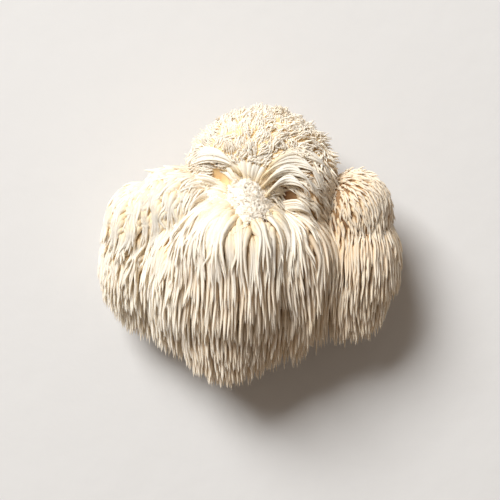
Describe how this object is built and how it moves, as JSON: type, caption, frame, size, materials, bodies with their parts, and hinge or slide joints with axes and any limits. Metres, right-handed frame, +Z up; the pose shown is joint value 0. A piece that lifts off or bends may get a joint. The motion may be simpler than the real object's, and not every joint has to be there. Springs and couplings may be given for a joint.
{
  "type": "lion's mane mushroom",
  "caption": "Lion's mane fruit body lying with its growth scar up: woolly crown, side lobes and combed hanging spines, to rest on a surface as produce.",
  "frame": {"origin": "middle of the footprint, on the surface that the fruit body rests on", "axes": "+Z up, out of the side with the growth scar; the spines hang towards -Y, the woolly crown is at +Y, and +X is the broad way across, to the right in the picture"},
  "size_m": [0.13, 0.121, 0.068],
  "materials": {
    "spines": "matte moist ivory spines, translucent, tan towards their roots",
    "flesh": "matte spongy flesh, tan to ochre in the hollows",
    "scar": "matte torn cottony flesh, near white"
  },
  "bodies": {
    "root": {"fruit_body": "spines"}
  },
  "joints": []
}
